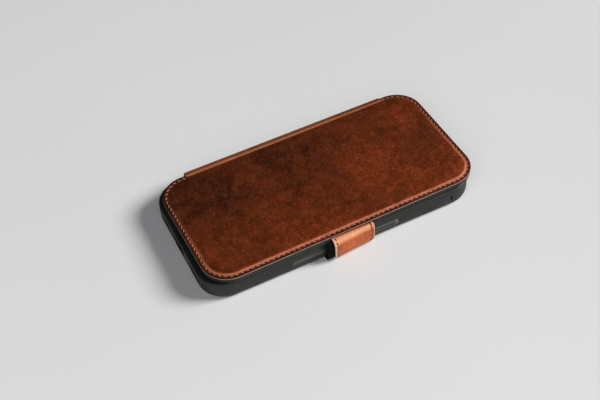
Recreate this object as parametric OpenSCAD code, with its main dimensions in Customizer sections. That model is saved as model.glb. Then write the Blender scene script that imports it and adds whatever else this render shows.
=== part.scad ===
// Leather folio phone case, lying closed on its back.
// Origin: centre of the back face. +X: the phone's right-hand side, where the
// strap and the power button are. +Y: the phone's top. +Z: up through the cover.

/* [Phone] */
// Width of the phone that the case holds
phone_w = 71.5; // [66:0.5:80]
// Length of the phone
phone_l = 146.7; // [138:0.1:165]
// Thickness of the phone
phone_t = 7.75; // [7:0.05:8.6]

/* [Bumper] */
// Thickness of the bumper's side walls
wall = 1.9; // [1.6:0.1:2.4]
// Corner radius of the bumper, outside
corner_r = 14.4; // [12:0.1:18]
// How far the lip reaches over the phone's front
lip_reach = 1.2; // [0.6:0.1:1.6]
// Height of the side buttons' middle above the table
button_z = 6.2; // [5.5:0.1:7]

/* [Cover] */
// How far the cover's free edge tips up, in degrees
cover_tilt = 1.43; // [1.2:0.01:1.8]
// How far the cover is skewed on its spine, in degrees
cover_skew = 0.67; // [0:0.01:0.8]
// How far the cover sits towards the phone's top
cover_shift = 2.45; // [0:0.05:3]
// Height that the padding raises the middle of the cover
crown = 0.62; // [0.3:0.02:0.9]
// Spacing of the stitches
stitch_pitch = 2.72; // [2.2:0.02:4]

/* [Strap] */
// Width of the strap, along the case's side
strap_w = 23.2; // [16:0.2:26]
// Middle of the strap along Y
strap_y = 2.6; // [-4:0.1:6]
// How far the strap stands out from the bumper's side
strap_bulge = 4.15; // [3.6:0.05:6]
// How far the strap's lining shows beyond its leather, towards the phone's bottom
lining_reach = 3.6; // [0:0.2:5]

/* [Hidden] */
$fn = 64;

// Gap left between pieces that lie against each other
gap = 0.02;
// Gap left between pieces that move past each other
clear = 0.35;

// Outline of the bumper
shell_w = phone_w + 2 * wall + 0.2;
shell_l = phone_l + 2 * wall + 0.8;

// Heights of the layers under the phone
leather_t = 0.98;
foot_z = 0.3;
plate_z = 1;
plate_t = 1.4;
lining_t = 0.4;
phone_z = plate_z + plate_t + lining_t;
phone_top = phone_z + phone_t;
rim_z = phone_top + 0.65;
ledge_w = 4.2;

// Wall section: distance in from the outer face, and height
wall_profile = [
  [0, 3.2], [0, rim_z - 0.3], [0.35, rim_z], [wall + lip_reach, rim_z],
  [wall + lip_reach, phone_top + 0.05], [wall, phone_top + 0.05], [wall, plate_z],
  [ledge_w, plate_z], [ledge_w, foot_z], [2.6, foot_z], [1.3, 0.7], [0.45, 1.6]
];

// Leather panel on the back, with the channel that its thread lies in
back_edge = ledge_w + 0.1;
back_w = shell_w - 2 * back_edge;
back_l = shell_l - 2 * back_edge;
back_r = corner_r - back_edge;
back_inset = 2.2;
channel_w = 0.8;
channel_depth = 0.25;

// Buttons and holes in the bumper's sides
button_h = 3.4;
button_travel = 0.35;
power_y = 20.6;
power_len = 16.5;
volume_up_y = 38;
volume_down_y = 24.5;
volume_len = 11;
mute_y = 51;
slot_y = 60.1;
window_y = -22;

// Camera opening, at the phone's upper right seen from the front
camera_x = 13.6;
camera_y = 51.4;
camera_size = 36.4;
camera_r = 9;
bezel_t = 1.5;

// Magnets in the back plate
ring_in = 22.8;
ring_out = 27.2;
ring_magnets = 18;
magnet_t = 0.6;
shield_t = 0.2;
ring_z = plate_z + plate_t - magnet_t - shield_t - gap;
align_y = -41;
align_w = 4.4;
align_l = 15;

// Spine: a stiff strip down the left side between two folds
spine_y0 = -56;
spine_y1 = 60;
spine_len = spine_y1 - spine_y0;
// The spine stands clear of the volume buttons
spine_in = shell_w / 2 + clear + 0.3;
spine_leather_t = 1;
spine_layer_t = 0.4;
spine_out = spine_in + spine_leather_t + 2 * spine_layer_t;
fold_low_z = 1.4;
fold_high_z = rim_z + 1.2;

// Cover: layers counted up from its underside
cover_w = 75.5;
cover_l = 151;
cover_r = 14.5;
cover_z = rim_z + clear;
cover_lining_t = 0.45;
// Level underside of the lining, which gets thicker towards the free edge
lining_z = rim_z + 0.4;
lining_depth = 2.4;
flange_z = 1.32;
pad_inset = 2.6;
pad_wall = 0.6;
board_t = 0.58;
foam_t = 0.3;
stitch_inset = 1.8;
stitch_w = 0.5;
stitch_h = 0.2;
catch_w = 9;
catch_l = 18;
catch_t = 0.5;

// Card pockets, inside the cover
pocket_w = 56;
pocket_x = -4.3;
pocket_t = 0.4;
pocket_y0 = -66;
pocket_front_y1 = 18;
pocket_rear_y1 = 32;
thumb_r = 9;

// Strap section: leather outside, lining inside, with a round bend at each end
strap_t = 1.4;
strap_lining_t = 0.5;
strap_out = shell_w / 2 + strap_bulge;
strap_low_z = 0.05;
strap_high_z = rim_z + 0.25 + strap_t;
// Outside the cover's edge the strap stands higher than its tip
strap_top_z = strap_high_z + 0.75;
low_bend_r = 4.3;
high_bend_r = 4;
strap_fold_z = 5.25;
strap_fold_gap = 0.3;
root_end_x = 24;
root_step_x = 36.3;
tip_end_x = 24.4;
tip_fold_x = strap_out - high_bend_r - 0.15;
strap_notch_w = strap_w + 1;
strap_bay_gap = 0.6;
strap_stitch_inset = 1.5;
strap_magnet_w = 8;
strap_magnet_l = 15;
strap_magnet_t = 0.45;

// ---------- shared shapes ----------

module round_rect(w, l, r) {
  square([w - 2 * r, l], center = true);
  square([w, l - 2 * r], center = true);
  for (sx = [-1, 1])
    for (sy = [-1, 1])
      translate([sx * (w / 2 - r), sy * (l / 2 - r)])
        circle(r);
}

module round_slab(w, l, r, t) {
  linear_extrude(t)
    round_rect(w, l, r);
}

// Slot with round ends, long way along X
module pill(len, h) {
  square([len - h, h], center = true);
  for (s = [-1, 1])
    translate([s * (len - h) / 2, 0])
      circle(h / 2);
}

// Slot cut or button body through a side wall, long way along Y
module side_pill(side, y, z, len, h, x0, x1) {
  translate([side * x0, y, z])
    rotate([90, 0, 90 * side])
      linear_extrude(x1 - x0)
        pill(len, h);
}

// Slot through an end wall, long way along X
module end_pill(x, z, len, h) {
  translate([x, -shell_l / 2 + ledge_w, z])
    rotate([90, 0, 0])
      linear_extrude(2 * ledge_w)
        pill(len, h);
}

// One visible length of thread, long way along Y
module thread(h) {
  translate([-stitch_w / 2, -stitch_pitch * 0.36, 0])
    cube([stitch_w, stitch_pitch * 0.72, h]);
}

// Straight row of stitches along Y, centred
module stitch_row(len, h) {
  n = floor(len / stitch_pitch);
  for (i = [0 : n - 1])
    translate([0, (i - (n - 1) / 2) * len / n, 0])
      thread(h);
}

// Stitches round a quarter turn about the origin
module stitch_corner(r, h) {
  n = round(r * PI / 2 / stitch_pitch);
  for (i = [0 : n - 1])
    rotate([0, 0, (i + 0.5) * 90 / n])
      translate([r, 0, 0])
        thread(h);
}

// ---------- placing ----------

// From the cover's own plane to its place on the closed case
module on_cover() {
  translate([-shell_w / 2, 0, cover_z])
    rotate([0, -cover_tilt, 0])
      translate([shell_w / 2 - 0.35, cover_shift, 0])
        rotate([0, 0, cover_skew])
          children();
}

// From the card pockets' own plane to their place under the lining
module under_cover() {
  translate([-0.35, cover_shift, lining_z])
    rotate([0, 0, cover_skew])
      children();
}

// ---------- tray ----------

module wall_ring() {
  half_x = shell_w / 2;
  half_y = shell_l / 2;
  for (side = [[0, half_x, 2 * (half_y - corner_r)], [90, half_y, 2 * (half_x - corner_r)]])
    for (turn = [0, 180])
      rotate([0, 0, side[0] + turn])
        translate([side[1], 0, 0])
          rotate([90, 0, 0])
            linear_extrude(side[2], center = true)
              polygon([for (p = wall_profile) [-p[0], p[1]]]);
  for (corner = [[1, 1, 0], [-1, 1, 90], [-1, -1, 180], [1, -1, 270]])
    translate([corner[0] * (half_x - corner_r), corner[1] * (half_y - corner_r), 0])
      rotate([0, 0, corner[2]])
        rotate_extrude(angle = 90)
          polygon([for (p = wall_profile) [corner_r - p[0], p[1]]]);
}

module bumper() {
  inner = shell_w / 2 - 2.5;
  outer = shell_w / 2 + 1;
  color([0.09, 0.1, 0.09])
    difference() {
      wall_ring();
      side_pill(1, power_y, button_z, power_len + 0.4, button_h + 0.4, inner, outer);
      side_pill(-1, volume_up_y, button_z, volume_len + 0.4, button_h + 0.4, inner, outer);
      side_pill(-1, volume_down_y, button_z, volume_len + 0.4, button_h + 0.4, inner, outer);
      side_pill(-1, mute_y, button_z, 9.5, 5, inner, outer);
      side_pill(1, window_y, button_z, 17.5, 3.2, shell_w / 2 - 0.3, outer);
      translate([inner, slot_y - 0.5, button_z - 1.6])
        cube([outer - inner, 1, 3.2]);
      translate([shell_w / 2 - 0.4, -slot_y - 0.4, button_z - 1.6])
        cube([1, 0.8, 3.2]);
      end_pill(0, button_z + 0.3, 13, 6);
      end_pill(19, button_z + 0.3, 14, 2.6);
      end_pill(-17.5, button_z + 0.3, 10, 2.6);
      translate([33, strap_y - strap_notch_w / 2 - lining_reach, -1])
        cube([6, strap_notch_w + lining_reach, 3]);
      translate([-39, spine_y0 - 0.6, -1])
        cube([6, spine_len + 1.2, 2.2]);
    }
}

module camera_hole(extra, z0, z1) {
  translate([camera_x, camera_y, z0])
    round_slab(camera_size + 2 * extra, camera_size + 2 * extra, camera_r + extra, z1 - z0);
}

module back_plate() {
  inset = wall + gap;
  color([0.12, 0.12, 0.12])
    difference() {
      translate([0, 0, plate_z])
        round_slab(shell_w - 2 * inset, shell_l - 2 * inset, corner_r - inset, plate_t);
      camera_hole(bezel_t + gap, 0, 5);
      translate([0, 0, ring_z - gap])
        rotate_extrude()
          translate([ring_in - 0.2, 0])
            square([ring_out - ring_in + 0.4, 2]);
      translate([-(align_w / 2 + 0.1), align_y - align_l / 2 - 0.1, plate_z + plate_t - magnet_t - gap])
        cube([align_w + 0.2, align_l + 0.2, 2]);
    }
}

module tray_lining() {
  inset = wall + 0.15;
  color([0.2, 0.2, 0.21])
    difference() {
      translate([0, 0, plate_z + plate_t + gap])
        round_slab(shell_w - 2 * inset, shell_l - 2 * inset, corner_r - inset, lining_t - gap);
      camera_hole(0.3, 0, 5);
    }
}

module back_leather() {
  color([0.36, 0.13, 0.06])
    difference() {
      union() {
        round_slab(back_w, back_l, back_r, leather_t);
        translate([-spine_in, spine_y0, 0])
          cube([spine_in - 30, spine_len, leather_t]);
      }
      camera_hole(bezel_t + 0.1, -1, 5);
      translate([root_end_x - 0.4, strap_y - strap_notch_w / 2, -1])
        cube([20, strap_notch_w, 5]);
      back_stitch_channel();
    }
}

// Shallow channel round the back panel that keeps its thread off the table
module back_stitch_channel() {
  edge = back_inset - channel_w / 2;
  translate([0, 0, -1])
    linear_extrude(1 + channel_depth)
      difference() {
        round_rect(back_w - 2 * edge, back_l - 2 * edge, back_r - edge);
        round_rect(back_w - 2 * edge - 2 * channel_w, back_l - 2 * edge - 2 * channel_w,
                   back_r - edge - channel_w);
        translate([-50, -25])
          square([40, 50]);
      }
}

// Two straight stretches down the right side and one along each end
module back_stitching() {
  half_x = back_w / 2 - back_inset;
  half_y = back_l / 2 - back_inset;
  r = back_r - back_inset;
  strap_edge = strap_notch_w / 2 + 1.5;
  camera_edge = camera_size / 2 + bezel_t + 1.5;
  low = [r - half_y, strap_y - strap_edge];
  high = [strap_y + strap_edge, camera_y - camera_edge];
  top = [r - half_x, camera_x - camera_edge];
  color([0.62, 0.36, 0.27])
    translate([0, 0, gap]) {
      for (run = [low, high])
        translate([half_x, (run[0] + run[1]) / 2, 0])
          stitch_row(run[1] - run[0], channel_depth - 2 * gap);
      translate([(top[0] + top[1]) / 2, half_y, 0])
        rotate([0, 0, 90])
          stitch_row(top[1] - top[0], channel_depth - 2 * gap);
      translate([0, -half_y, 0])
        rotate([0, 0, 90])
          stitch_row(2 * (half_x - r), channel_depth - 2 * gap);
      for (corner = [[-1, 1, 90], [-1, -1, 180], [1, -1, 270]])
        translate([corner[0] * (half_x - r), corner[1] * (half_y - r), 0])
          rotate([0, 0, corner[2]])
            stitch_corner(r, channel_depth - 2 * gap);
    }
}

module camera_bezel() {
  color([0.16, 0.16, 0.17])
    difference() {
      camera_hole(bezel_t, 0.05, plate_z + plate_t);
      camera_hole(0, -1, 5);
    }
}

module magnet_ring() {
  step = 360 / ring_magnets;
  color([0.7, 0.7, 0.72])
    for (i = [0 : ring_magnets - 1])
      rotate([0, 0, i * step])
        translate([0, 0, ring_z + shield_t])
          rotate_extrude(angle = step - 1.5)
            translate([ring_in, 0])
              square([ring_out - ring_in, magnet_t]);
}

module magnet_ring_shield() {
  color([0.55, 0.55, 0.56])
    translate([0, 0, ring_z])
      rotate_extrude()
        translate([ring_in, 0])
          square([ring_out - ring_in, shield_t - gap]);
}

module alignment_magnet() {
  color([0.7, 0.7, 0.72])
    translate([-align_w / 2, align_y - align_l / 2, plate_z + plate_t - magnet_t])
      cube([align_w, align_l, magnet_t]);
}

// ---------- buttons ----------

module side_button(side, y, len, stand) {
  face = shell_w / 2 + stand;
  ribs = floor((len - 3) / 1.1);
  side_pill(side, y, button_z, len, button_h, shell_w / 2 - wall + button_travel + 0.05, face);
  if (side > 0)
    for (i = [0 : ribs - 1])
      translate([face, y + (i - (ribs - 1) / 2) * 1.1 - 0.25, button_z - 1.1])
        cube([0.15, 0.5, 2.2]);
}

module power_button() {
  color([0.13, 0.13, 0.13])
    side_button(1, power_y, power_len, 0.3);
}

module volume_up_button() {
  color([0.13, 0.13, 0.13])
    side_button(-1, volume_up_y, volume_len, 0.25);
}

module volume_down_button() {
  color([0.13, 0.13, 0.13])
    side_button(-1, volume_down_y, volume_len, 0.25);
}

// ---------- spine ----------

// One layer of the spine, between two distances from the middle plane
module spine_layer(x0, x1, z0, z1, trim) {
  translate([-x1, spine_y0 + trim, z0])
    cube([x1 - x0, spine_len - 2 * trim, z1 - z0]);
}

module spine_leather() {
  color([0.5, 0.2, 0.08])
    spine_layer(spine_out - spine_leather_t, spine_out, fold_low_z + 0.5, fold_high_z - 0.3, 0);
}

module spine_stiffener() {
  x0 = spine_in + spine_layer_t + gap;
  color([0.25, 0.24, 0.22])
    spine_layer(x0, x0 + spine_layer_t - 2 * gap, 2.6, rim_z - 0.6, 1.5);
}

module spine_lining() {
  color([0.1, 0.1, 0.1])
    spine_layer(spine_in, spine_in + spine_layer_t, 2, rim_z - 0.1, 0.6);
}

// ---------- cover ----------

module cover_slab(inset, z0, z1) {
  translate([0, 0, z0])
    round_slab(cover_w - 2 * inset, cover_l - 2 * inset, cover_r - inset, z1 - z0);
}

module cover_leather() {
  color([0.4, 0.13, 0.05])
    on_cover()
      difference() {
        union() {
          cover_slab(0, cover_lining_t + gap, flange_z);
          cover_slab(pad_inset, flange_z - 0.1, flange_z + crown);
        }
        cover_slab(pad_inset + pad_wall, 0, cover_lining_t + board_t + foam_t + 3 * gap);
      }
}

module cover_foam() {
  color([0.75, 0.73, 0.68])
    on_cover()
      cover_slab(pad_inset + pad_wall + 0.1, cover_lining_t + board_t + 2 * gap,
                 cover_lining_t + board_t + foam_t + 2 * gap);
}

module catch_place() {
  translate([cover_w / 2 - 12.5, strap_y - cover_shift, 0])
    children();
}

module cover_board() {
  color([0.3, 0.29, 0.27])
    on_cover()
      difference() {
        cover_slab(pad_inset + pad_wall + 0.1, cover_lining_t + gap, cover_lining_t + board_t + gap);
        catch_place()
          translate([-(catch_w / 2 + 0.1), -(catch_l / 2 + 0.1), 0])
            cube([catch_w + 0.2, catch_l + 0.2, cover_lining_t + gap + catch_t + 0.04]);
      }
}

module cover_catch_plate() {
  color([0.66, 0.67, 0.69])
    on_cover()
      catch_place()
        translate([-catch_w / 2, -catch_l / 2, cover_lining_t + gap])
          cube([catch_w, catch_l, catch_t]);
}

// The cut-away in its near side leaves room for the strap's tip
module cover_lining() {
  bay_w = strap_w + 2 * strap_bay_gap;
  color([0.11, 0.11, 0.11])
    difference() {
      on_cover()
        cover_slab(0.15, -lining_depth, cover_lining_t);
      translate([-60, -100, lining_z - 10])
        cube([120, 200, 10]);
      on_cover()
        translate([tip_end_x - strap_bay_gap + 0.35, strap_y - cover_shift - bay_w / 2, -5])
          cube([30, bay_w, 5]);
    }
}

module cover_stitching() {
  half_x = cover_w / 2 - stitch_inset;
  half_y = cover_l / 2 - stitch_inset;
  r = cover_r - stitch_inset;
  color([0.72, 0.42, 0.32])
    on_cover()
      translate([0, 0, flange_z + gap / 2]) {
        translate([half_x, 0, 0])
          stitch_row(2 * (half_y - r), stitch_h);
        for (s = [-1, 1])
          translate([0, s * half_y, 0])
            rotate([0, 0, 90])
              stitch_row(2 * (half_x - r), stitch_h);
        for (corner = [[1, 1, 0], [-1, 1, 90], [-1, -1, 180], [1, -1, 270]])
          translate([corner[0] * (half_x - r), corner[1] * (half_y - r), 0])
            rotate([0, 0, corner[2]])
              stitch_corner(r, stitch_h);
      }
}

// ---------- card pockets ----------

module pocket_panel(layer, y1) {
  translate([pocket_x, (pocket_y0 + y1) / 2, -layer * (pocket_t + gap)])
    linear_extrude(pocket_t)
      difference() {
        round_rect(pocket_w, y1 - pocket_y0, 3);
        translate([0, (y1 - pocket_y0) / 2])
          circle(thumb_r);
      }
}

module card_pocket_rear() {
  color([0.16, 0.15, 0.14])
    under_cover()
      pocket_panel(1, pocket_rear_y1);
}

module card_pocket_front() {
  color([0.42, 0.16, 0.07])
    under_cover()
      pocket_panel(2, pocket_front_y1);
}

module card_pocket_stitching() {
  len = pocket_front_y1 - pocket_y0 - 4;
  color([0.72, 0.42, 0.32])
    under_cover()
      translate([pocket_x, 0, -2 * (pocket_t + gap) - 0.12]) {
        for (s = [-1, 1])
          translate([s * (pocket_w / 2 - 1.3), (pocket_y0 + pocket_front_y1) / 2, 0])
            stitch_row(len, 0.11);
        translate([0, pocket_y0 + 1.3, 0])
          rotate([0, 0, 90])
            stitch_row(pocket_w - 6, 0.11);
      }
}

// ---------- strap ----------

// Extrudes an X-Z section along Y, over the strap's width and as much again as it reaches
module strap_sweep(reach = 0) {
  translate([0, strap_y + strap_w / 2, 0])
    rotate([90, 0, 0])
      linear_extrude(strap_w + reach)
        children();
}

// Quarter ring between two radii, open to the side given by the quadrant's angle
module quarter_ring(r_in, r_out, quadrant) {
  intersection() {
    difference() {
      circle(r_out);
      circle(r_in);
    }
    rotate([0, 0, quadrant])
      square(2 * r_out);
  }
}

// Section of the strap's fixed lower part, between two depths in from its outer face
module root_section(d0, d1) {
  translate([strap_out - low_bend_r, strap_low_z + low_bend_r])
    quarter_ring(low_bend_r - d1, low_bend_r - d0, 270);
  translate([strap_out - d1, strap_low_z + low_bend_r])
    square([d1 - d0, strap_fold_z - strap_fold_gap - strap_low_z - low_bend_r]);
  translate([root_step_x, strap_low_z + d0])
    square([strap_out - low_bend_r - root_step_x, d1 - d0]);
}

// Section of the strap's swinging part, between two depths in from its outer face
module loop_section(d0, d1) {
  bend_z = strap_top_z - high_bend_r;
  translate([strap_out - high_bend_r, bend_z])
    quarter_ring(high_bend_r - d1, high_bend_r - d0, 0);
  translate([strap_out - d1, strap_fold_z + strap_fold_gap])
    square([d1 - d0, bend_z - strap_fold_z - strap_fold_gap]);
}

leather_depth = strap_t - strap_lining_t;

module strap_root_leather() {
  color([0.62, 0.27, 0.12]) {
    strap_sweep()
      root_section(0, leather_depth);
    strap_sweep()
      translate([root_end_x, strap_low_z])
        square([root_step_x - root_end_x, leather_depth]);
  }
}

module strap_root_lining() {
  color([0.1, 0.1, 0.1])
    strap_sweep(lining_reach)
      root_section(leather_depth + gap, strap_t);
}

// One stitch on the strap's outer face, which faces +X
module strap_thread() {
  translate([0, -0.2, -0.7])
    cube([0.12, 0.4, 1.4]);
}

// Stitches round a bend about the Y axis, from one angle above +X to another
module strap_bend_stitches(r, from, to) {
  for (rise = [from : 30 : to])
    rotate([0, -rise, 0])
      translate([r, 0, 0])
        strap_thread();
}

// The two stitch lines, near both side edges of the strap
module both_strap_edges() {
  for (s = [-1, 1])
    translate([0, strap_y + s * (strap_w / 2 - strap_stitch_inset), 0])
      children();
}

module strap_root_stitching() {
  color([0.35, 0.12, 0.07])
    both_strap_edges()
      translate([strap_out - low_bend_r, 0, strap_low_z + low_bend_r])
        strap_bend_stitches(low_bend_r, -60, 0);
}

module strap_loop_leather() {
  color([0.66, 0.3, 0.14])
    strap_sweep()
      loop_section(0, leather_depth);
}

module strap_loop_lining() {
  color([0.1, 0.1, 0.1])
    strap_sweep(lining_reach)
      loop_section(leather_depth + gap, strap_t);
}

module strap_loop_stitching() {
  color([0.35, 0.12, 0.07])
    both_strap_edges() {
      translate([strap_out - high_bend_r, 0, strap_top_z - high_bend_r])
        strap_bend_stitches(high_bend_r, 15, 75);
      translate([strap_out, 0, strap_fold_z + 1.6])
        strap_thread();
    }
}

module strap_tip_leather() {
  color([0.62, 0.27, 0.12])
    difference() {
      strap_sweep()
        translate([tip_end_x, strap_high_z - leather_depth])
          square([tip_fold_x - 0.15 - tip_end_x, leather_depth]);
      strap_magnet_space(0.1, strap_magnet_t + 0.05);
    }
}

module strap_tip_lining() {
  color([0.1, 0.1, 0.1])
    strap_sweep()
      translate([tip_end_x, strap_high_z - strap_t])
        square([tip_fold_x - 0.15 - tip_end_x, strap_lining_t - gap]);
}

module strap_magnet_space(extra, h) {
  translate([tip_end_x + 2 - extra, strap_y - strap_magnet_l / 2 - extra, strap_high_z - leather_depth])
    cube([strap_magnet_w + 2 * extra, strap_magnet_l + 2 * extra, h]);
}

module strap_magnet() {
  color([0.7, 0.7, 0.72])
    strap_magnet_space(0, strap_magnet_t);
}

module strap_tip_stitching() {
  color([0.35, 0.12, 0.07])
    both_strap_edges()
      for (x = [tip_end_x + 2 : 2.4 : tip_fold_x - 2])
        translate([x, 0, strap_high_z])
          rotate([0, -90, 0])
            strap_thread();
}

// ---------- the nodes ----------

bumper();
back_plate();
tray_lining();
back_leather();
back_stitching();
camera_bezel();
magnet_ring();
magnet_ring_shield();
alignment_magnet();
strap_root_leather();
strap_root_lining();
strap_root_stitching();
power_button();
volume_up_button();
volume_down_button();
spine_leather();
spine_stiffener();
spine_lining();
cover_leather();
cover_foam();
cover_board();
cover_catch_plate();
cover_lining();
cover_stitching();
card_pocket_front();
card_pocket_rear();
card_pocket_stitching();
strap_loop_leather();
strap_loop_lining();
strap_loop_stitching();
strap_tip_leather();
strap_tip_lining();
strap_tip_stitching();
strap_magnet();
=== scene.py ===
"""Looks of a leather folio phone case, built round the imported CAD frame."""

from math import cos, floor, hypot, pi, radians, sin

import bmesh
import bpy
from mathutils import Matrix, Vector, noise


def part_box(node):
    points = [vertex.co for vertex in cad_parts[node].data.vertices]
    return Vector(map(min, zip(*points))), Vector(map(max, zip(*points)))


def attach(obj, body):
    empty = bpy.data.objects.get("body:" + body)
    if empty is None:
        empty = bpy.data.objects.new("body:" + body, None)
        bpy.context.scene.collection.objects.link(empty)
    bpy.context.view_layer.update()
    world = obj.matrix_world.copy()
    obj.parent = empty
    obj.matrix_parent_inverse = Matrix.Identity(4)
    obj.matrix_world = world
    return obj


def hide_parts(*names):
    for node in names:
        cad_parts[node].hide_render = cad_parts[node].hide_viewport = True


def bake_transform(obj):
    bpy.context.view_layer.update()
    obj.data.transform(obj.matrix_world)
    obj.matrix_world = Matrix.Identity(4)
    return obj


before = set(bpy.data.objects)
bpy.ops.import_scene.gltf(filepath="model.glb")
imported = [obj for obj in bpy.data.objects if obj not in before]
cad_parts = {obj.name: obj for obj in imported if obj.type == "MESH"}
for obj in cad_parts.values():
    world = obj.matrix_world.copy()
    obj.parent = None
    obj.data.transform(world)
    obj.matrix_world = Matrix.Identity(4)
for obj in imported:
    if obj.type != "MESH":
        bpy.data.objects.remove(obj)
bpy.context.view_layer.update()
MM = 0.001


def shift(x, y, z):
    return Matrix.Translation((x, y, z))


def spin(angle, axis="Z"):
    return Matrix.Rotation(angle, 4, axis)


# Turns an outline in X and Y to lie in Y and Z, so that it is drawn out along X.
FACE_X = spin(pi / 2) @ spin(pi / 2, "X")
FACE_DOWN = spin(pi, "Y")

# ---------- sizes, in millimetres ----------


def span(node):
    """A CAD node's lowest and highest corner."""
    low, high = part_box(node)
    return low / MM, high / MM


SHELL_LOW, SHELL_HIGH = span("bumper")
SHELL_W = SHELL_HIGH.x - SHELL_LOW.x
SHELL_L = SHELL_HIGH.y - SHELL_LOW.y
SHELL_R = 14.4
RIM_Z = SHELL_HIGH.z

BACK_W, BACK_R = 66.9, 10.1
BACK_L = span("back_leather")[1].y - span("back_leather")[0].y
BACK_INSET = 2.2

SPINE_LOW, SPINE_HIGH = span("spine_leather")

COVER_W, COVER_L, COVER_R = 75.5, 151.0, 14.5
COVER_TILT, COVER_SKEW = 1.43, 0.67
# The cover lies this far towards the spine and above the rim, and this far towards the phone's top.
COVER_GAP = 0.35
COVER_SHIFT = 2.45
COVER_Z = RIM_Z + COVER_GAP
LINING_Z = span("cover_lining")[0].z
COVER = (
    shift(-SHELL_W / 2, 0, COVER_Z)
    @ spin(radians(-COVER_TILT), "Y")
    @ shift(SHELL_W / 2 - COVER_GAP, COVER_SHIFT, 0)
    @ spin(radians(COVER_SKEW))
)
POCKETS = shift(-COVER_GAP, COVER_SHIFT, LINING_Z) @ spin(radians(COVER_SKEW))

STITCH_PITCH, STITCH_INSET = 2.72, 1.8
STRAP_LOW, STRAP_HIGH = span("strap_loop_leather")
STRAP_Y0, STRAP_Y1 = STRAP_LOW.y, STRAP_HIGH.y
STRAP_LEATHER_T, STRAP_T = 0.9, 1.4
STRAP_ROOM = 0.6
LINING_REACH = STRAP_Y0 - span("strap_loop_lining")[0].y
CAMERA_X, CAMERA_Y, CAMERA_SIZE, CAMERA_R = 13.6, 51.4, 36.4, 9.0
BUTTON_Z, BUTTON_H = 6.2, 3.4
POWER_Y, POWER_LENGTH = 20.6, 16.5
VOLUME_UP_Y, VOLUME_DOWN_Y, VOLUME_LENGTH = 38.0, 24.5, 11.0
WINDOW_Y, WINDOW_LENGTH = -22.0, 17.5
RECESS_DEPTH = 0.3


# ---------- mesh helpers ----------


def add_object(name, data):
    obj = bpy.data.objects.new(name, data)
    bpy.context.scene.collection.objects.link(obj)
    return obj


def add_mesh(name, verts, faces):
    """A mesh object from points in millimetres, with doubles merged and faces turned outwards."""
    mesh = bpy.data.meshes.new(name)
    mesh.from_pydata([Vector(v) * MM for v in verts], [], faces)
    bm = bmesh.new()
    bm.from_mesh(mesh)
    bmesh.ops.remove_doubles(bm, verts=bm.verts, dist=1e-7)
    bmesh.ops.dissolve_degenerate(bm, dist=1e-8, edges=bm.edges)
    bmesh.ops.recalc_face_normals(bm, faces=bm.faces)
    bm.to_mesh(mesh)
    bm.free()
    return add_object(name, mesh)


def evaluated_mesh(obj):
    """The object's mesh with its modifiers or curve settings applied."""
    graph = bpy.context.evaluated_depsgraph_get()
    return bpy.data.meshes.new_from_object(obj.evaluated_get(graph))


def apply_modifiers(obj):
    mesh = evaluated_mesh(obj)
    obj.modifiers.clear()
    obj.data = mesh


def carve(obj, *cutters):
    """Cuts other closed meshes out of obj and removes them."""
    for cutter in cutters:
        modifier = obj.modifiers.new("cut", "BOOLEAN")
        modifier.operation, modifier.solver, modifier.object = "DIFFERENCE", "EXACT", cutter
    apply_modifiers(obj)
    for cutter in cutters:
        bpy.data.objects.remove(cutter)


def soften(obj, width, segments, angle):
    """Rounds the sharp edges of a mesh."""
    modifier = obj.modifiers.new("soften", "BEVEL")
    modifier.width, modifier.segments = width * MM, segments
    modifier.limit_method, modifier.angle_limit = "ANGLE", radians(angle)
    apply_modifiers(obj)
    return obj


def loft(name, rings, filled=(0, -1), closed=False):
    """A skin over rings of equal length. A filled ring gets a face of its own."""
    n, faces = len(rings[0]), []
    for k in range(len(rings) if closed else len(rings) - 1):
        a, b = k * n, (k + 1) % len(rings) * n
        faces += [[a + i, a + (i + 1) % n, b + (i + 1) % n, b + i] for i in range(n)]
    for k in filled:
        start = k % len(rings) * n
        faces.append(list(range(start, start + n)))
    return add_mesh(name, [v for ring in rings for v in ring], faces)


def prism(name, outline, z0, z1, matrix=Matrix.Identity(4)):
    """A closed prism over a flat outline, then moved by matrix."""
    return loft(name, [[matrix @ Vector((x, y, z)) for x, y in outline] for z in (z0, z1)])


def block(name, low, high, matrix=Matrix.Identity(4)):
    corners = [(low[0], low[1]), (high[0], low[1]), (high[0], high[1]), (low[0], high[1])]
    return prism(name, corners, low[2], high[2], matrix)


def rounded(w, l, r, counts):
    """Core points and outward normals round a rounded rectangle: (cx, cy, nx, ny)."""
    hx, hy = w / 2 - r, l / 2 - r
    long_n, short_n, corner_n = counts
    corners = [(hx, -hy), (hx, hy), (-hx, hy), (-hx, -hy)]
    points = []
    for side in range(4):
        a, b = Vector(corners[side]), Vector(corners[(side + 1) % 4])
        turn = side * pi / 2
        n = short_n if side % 2 else long_n
        for i in range(n):
            points.append((*a.lerp(b, i / n), cos(turn), sin(turn)))
        for i in range(corner_n):
            angle = turn + pi / 2 * i / corner_n
            points.append((*b, cos(angle), sin(angle)))
    return points


def loop_at(outline, r, inset):
    """The outline's points, moved in by inset."""
    return [(cx + (r - inset) * nx, cy + (r - inset) * ny) for cx, cy, nx, ny in outline]


def rounded_loop(w, l, r, corner_n, centre=(0, 0)):
    outline = rounded(w, l, r, (24, 12, corner_n))
    return [(x + centre[0], y + centre[1]) for x, y in loop_at(outline, r, 0)]


def pill(length, height, segments=12):
    """Outline of a slot with round ends, long way along X."""
    r = height / 2
    ends = [(1, -pi / 2), (-1, pi / 2)]
    return [
        (s * (length / 2 - r) + r * cos(start + pi * i / segments), r * sin(start + pi * i / segments))
        for s, start in ends
        for i in range(segments + 1)
    ]


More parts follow.
